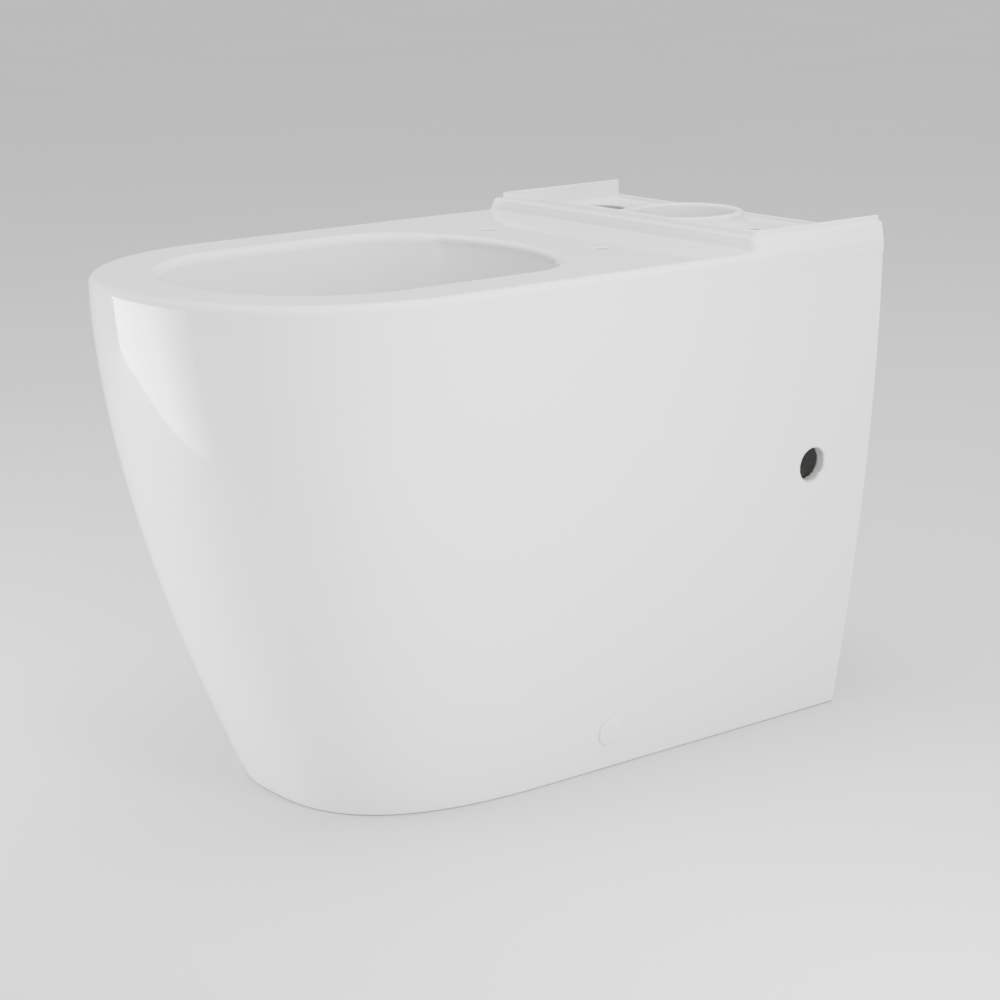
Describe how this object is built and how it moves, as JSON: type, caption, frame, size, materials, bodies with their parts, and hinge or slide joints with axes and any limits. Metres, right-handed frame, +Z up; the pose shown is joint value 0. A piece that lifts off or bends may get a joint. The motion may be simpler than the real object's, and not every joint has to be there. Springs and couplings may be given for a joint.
{
  "type": "close coupled toilet pan",
  "caption": "Back-to-wall close coupled toilet pan: flared glazed ceramic body, open bowl and rim, recessed cistern platform with inlet ring, side fixings and a horizontal outlet connector.",
  "frame": {"origin": "on the floor, midway between the wall plane and the front of the rim, on the pan's centre plane", "axes": "+Z up, +Y towards the wall, +X towards the side with the service hole"},
  "size_m": [0.379, 0.6599, 0.4622],
  "materials": {
    "vitreous_china": "glazed, glossy",
    "white_plastic": "satin gloss",
    "natural_nylon": "matte",
    "stainless_steel": "bright",
    "zinc_plated_steel": "zinc plated, satin",
    "black_rubber": "matte"
  },
  "bodies": {
    "pan_body": {"pan": "vitreous_china", "outlet_connector": "white_plastic", "spigot_seal": "black_rubber", "wall_seal": "black_rubber", "screw_sleeve_left": "natural_nylon", "fixing_screw_left": "stainless_steel", "screw_washer_left": "stainless_steel", "bracket_nut_left": "zinc_plated_steel", "floor_bracket_left": "zinc_plated_steel", "screw_sleeve_right": "natural_nylon", "fixing_screw_right": "stainless_steel", "screw_washer_right": "stainless_steel", "bracket_nut_right": "zinc_plated_steel", "floor_bracket_right": "zinc_plated_steel"},
    "fixing_cap_left_body": {"fixing_cap_left": "white_plastic"},
    "fixing_cap_right_body": {"fixing_cap_right": "white_plastic"}
  },
  "joints": [
    {"name": "fixing_cap_left_pull", "type": "slide", "parent": "pan_body", "child": "fixing_cap_left_body", "axis": [-0.9793, 0, -0.2025], "range_m": [0, 0.015]},
    {"name": "fixing_cap_right_pull", "type": "slide", "parent": "pan_body", "child": "fixing_cap_right_body", "axis": [0.9793, 0, -0.2025], "range_m": [0, 0.015]}
  ]
}
